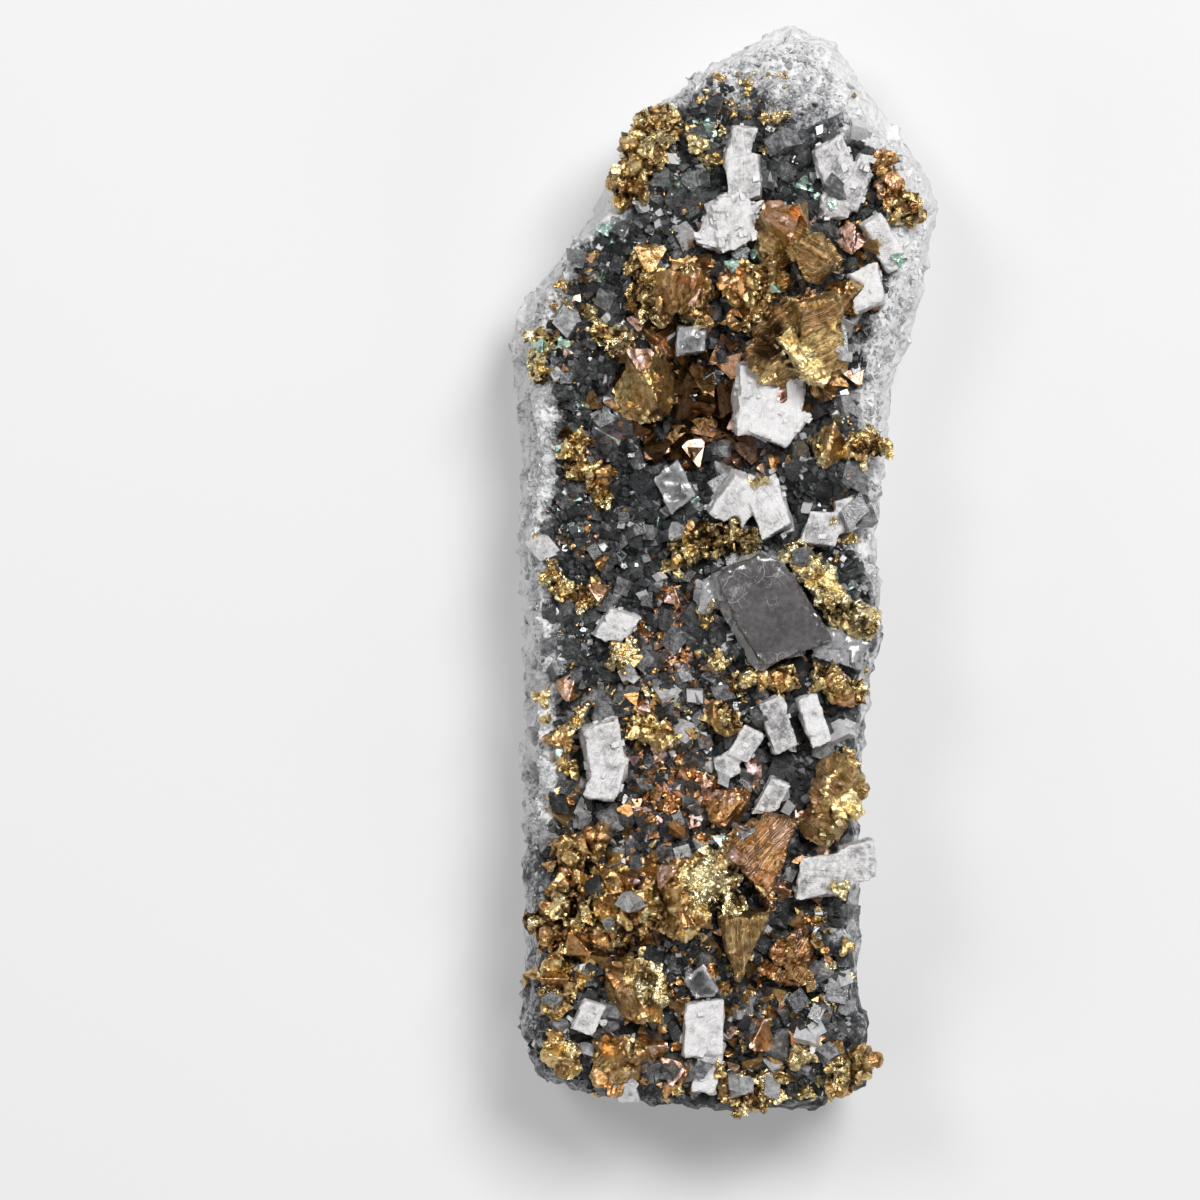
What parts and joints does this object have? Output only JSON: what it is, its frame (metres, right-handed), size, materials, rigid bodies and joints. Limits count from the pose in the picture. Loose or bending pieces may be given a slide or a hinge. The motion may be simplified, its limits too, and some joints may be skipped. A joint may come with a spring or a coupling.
{
  "type": "chalcopyrite mineral specimen",
  "caption": "Hand-sized mineral specimen: brassy chalcopyrite crystals with white dolomite rhombs and a smoky calcite tablet on a slab of dark drusy rock, resting crystal side up.",
  "frame": {"origin": "on the flat of the broken back that the specimen rests on, half way along its length and near the middle of its width", "axes": "+Z out of the crystal-bearing front, +Y along the length towards the pale narrow tip, +X to the right when the front is seen with the tip up"},
  "size_m": [0.0388, 0.0975, 0.0228],
  "materials": {
    "rock": "dark drusy stone with pale grey broken flanks",
    "brassy_chalcopyrite": "bright brassy metal, hackly and striated, bronze where tarnished",
    "copper_chalcopyrite": "tarnished coppery metal with purple and teal patches",
    "white_dolomite": "translucent white crystal with pearly cleavage faces",
    "grey_crystal": "translucent grey crystal with a glassy surface",
    "smoky_calcite": "clear smoky crystal with fine white fractures"
  },
  "bodies": {
    "root": {"calcite_tablet": "smoky_calcite", "chalcopyrite_bar_left": "copper_chalcopyrite", "chalcopyrite_block_bottom": "brassy_chalcopyrite", "chalcopyrite_block_left": "brassy_chalcopyrite", "chalcopyrite_block_low": "brassy_chalcopyrite", "chalcopyrite_block_right": "brassy_chalcopyrite", "chalcopyrite_bottom_crust": "brassy_chalcopyrite", "chalcopyrite_bright_crystal": "brassy_chalcopyrite", "chalcopyrite_chain_left": "brassy_chalcopyrite", "chalcopyrite_cluster_left": "brassy_chalcopyrite", "chalcopyrite_corner_left": "brassy_chalcopyrite", "chalcopyrite_corner_right": "brassy_chalcopyrite", "chalcopyrite_crust_below_tablet": "brassy_chalcopyrite", "chalcopyrite_crust_left_edge": "brassy_chalcopyrite", "chalcopyrite_crust_low_left": "brassy_chalcopyrite", "chalcopyrite_crust_upper_left": "brassy_chalcopyrite", "chalcopyrite_crust_upper_right": "copper_chalcopyrite", "chalcopyrite_dark_group": "copper_chalcopyrite", "chalcopyrite_fan_centre": "copper_chalcopyrite", "chalcopyrite_fan_right": "copper_chalcopyrite", "chalcopyrite_flake_left": "brassy_chalcopyrite", "chalcopyrite_group_left": "brassy_chalcopyrite", "chalcopyrite_group_upper_left": "brassy_chalcopyrite", "chalcopyrite_knob_centre": "brassy_chalcopyrite", "chalcopyrite_large_crystal": "brassy_chalcopyrite", "chalcopyrite_lump_right": "brassy_chalcopyrite", "chalcopyrite_mass_centre": "brassy_chalcopyrite", "chalcopyrite_mass_left": "brassy_chalcopyrite", "chalcopyrite_nugget_centre": "brassy_chalcopyrite", "chalcopyrite_nugget_left": "brassy_chalcopyrite", "chalcopyrite_pair_right": "brassy_chalcopyrite", "chalcopyrite_ridge_right": "brassy_chalcopyrite", "chalcopyrite_sponge_centre": "brassy_chalcopyrite", "chalcopyrite_striated_group": "copper_chalcopyrite", "chalcopyrite_striated_wedge": "copper_chalcopyrite", "chalcopyrite_tarnished_knob": "copper_chalcopyrite", "chalcopyrite_tetra_right": "copper_chalcopyrite", "dolomite_blade_low": "white_dolomite", "dolomite_blade_right": "white_dolomite", "dolomite_blades_upper_right": "white_dolomite", "dolomite_block_centre": "white_dolomite", "dolomite_block_left": "white_dolomite", "dolomite_block_right": "white_dolomite", "dolomite_group_right": "white_dolomite", "dolomite_milky_lump": "white_dolomite", "dolomite_pair_centre": "white_dolomite", "dolomite_rhomb_left": "white_dolomite", "dolomite_rhomb_low_left": "white_dolomite", "dolomite_rhomb_low_mid": "white_dolomite", "dolomite_rhomb_mid": "white_dolomite", "dolomite_rhomb_right_inner": "white_dolomite", "dolomite_rhomb_right_outer": "white_dolomite", "dolomite_stack_lower_right": "white_dolomite", "dolomite_stack_top": "white_dolomite", "grey_rhomb_left": "grey_crystal", "grey_rhomb_low": "grey_crystal", "quartz_knob_centre": "grey_crystal", "rock_matrix": "rock"}
  },
  "joints": []
}
